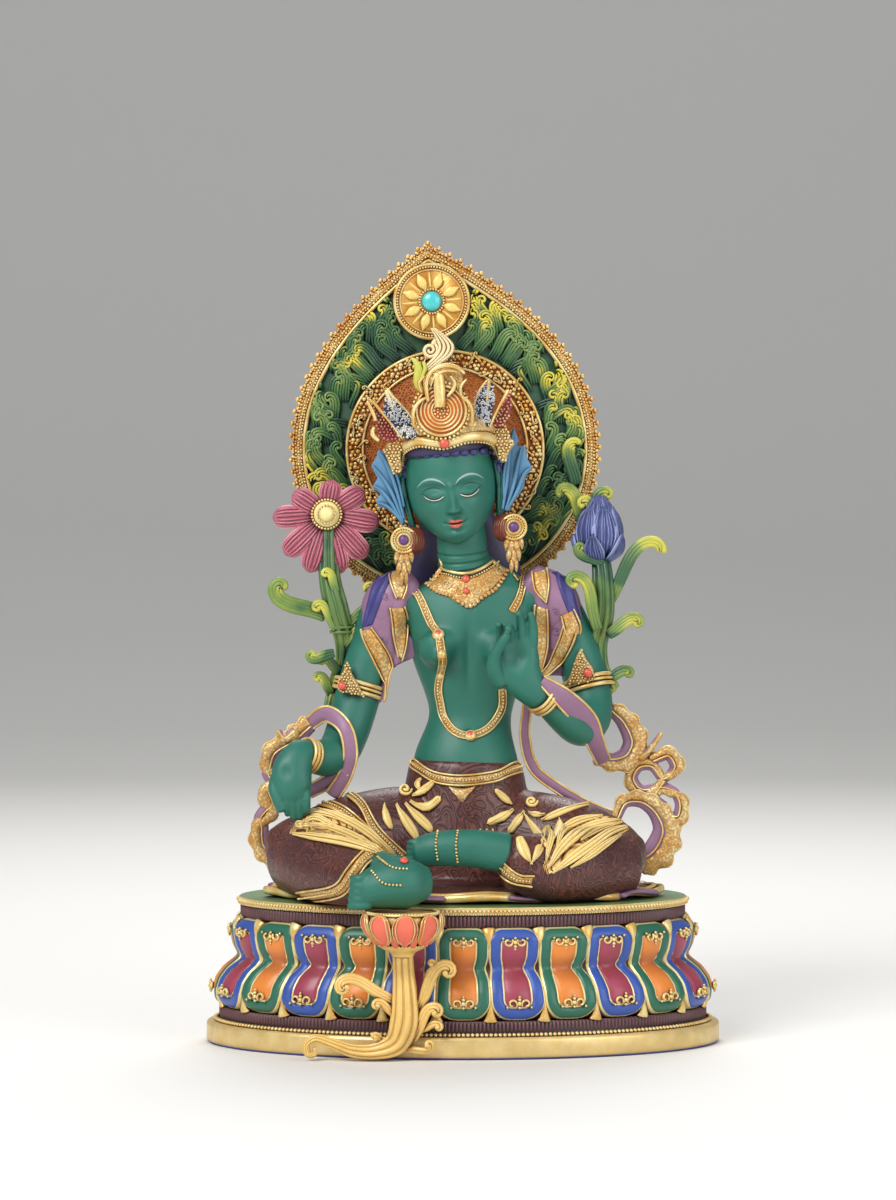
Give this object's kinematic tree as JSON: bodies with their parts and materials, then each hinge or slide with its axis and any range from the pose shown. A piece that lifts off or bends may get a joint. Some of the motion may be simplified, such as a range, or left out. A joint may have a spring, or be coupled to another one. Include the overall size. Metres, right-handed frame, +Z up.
{
  "type": "seated tara statue",
  "caption": "Painted seated goddess on a double lotus plinth, with a pointed back plate, tall flowers and looped scarves, for a shelf or shrine.",
  "frame": {"origin": "middle of the plinth's underside", "axes": "+Z up, the goddess faces -Y, +X to the right as seen from the front"},
  "size_m": [0.19, 0.1397, 0.2965],
  "materials": {
    "plinth_paint": "satin paint with gilt outlines on cast resin",
    "gilding": "antiqued gold paint on cast resin",
    "skin_paint": "satin green paint on cast resin",
    "robe_paint": "plum paint over engraved scrolls on cast resin",
    "aureole_paint": "green and yellow paint over carved scrolls on cast resin",
    "turquoise_paint": "gloss turquoise",
    "petal_paint": "pink paint with darker grooves on cast resin",
    "bud_paint": "blue paint with darker grooves on cast resin",
    "leaf_paint": "green and yellow paint on cast resin",
    "scarf_paint": "lilac paint with gilt edges on cast resin",
    "hair_paint": "indigo paint on cast resin",
    "ribbon_paint": "sky blue paint on cast resin"
  },
  "bodies": {
    "root": {"plinth": "plinth_paint", "foot_lotus": "gilding", "figure": "skin_paint", "aureole": "aureole_paint", "medallion_stone": "turquoise_paint", "open_lotus": "petal_paint", "blue_lotus": "bud_paint", "scarf_left": "scarf_paint", "scarf_right": "scarf_paint"}
  },
  "joints": []
}
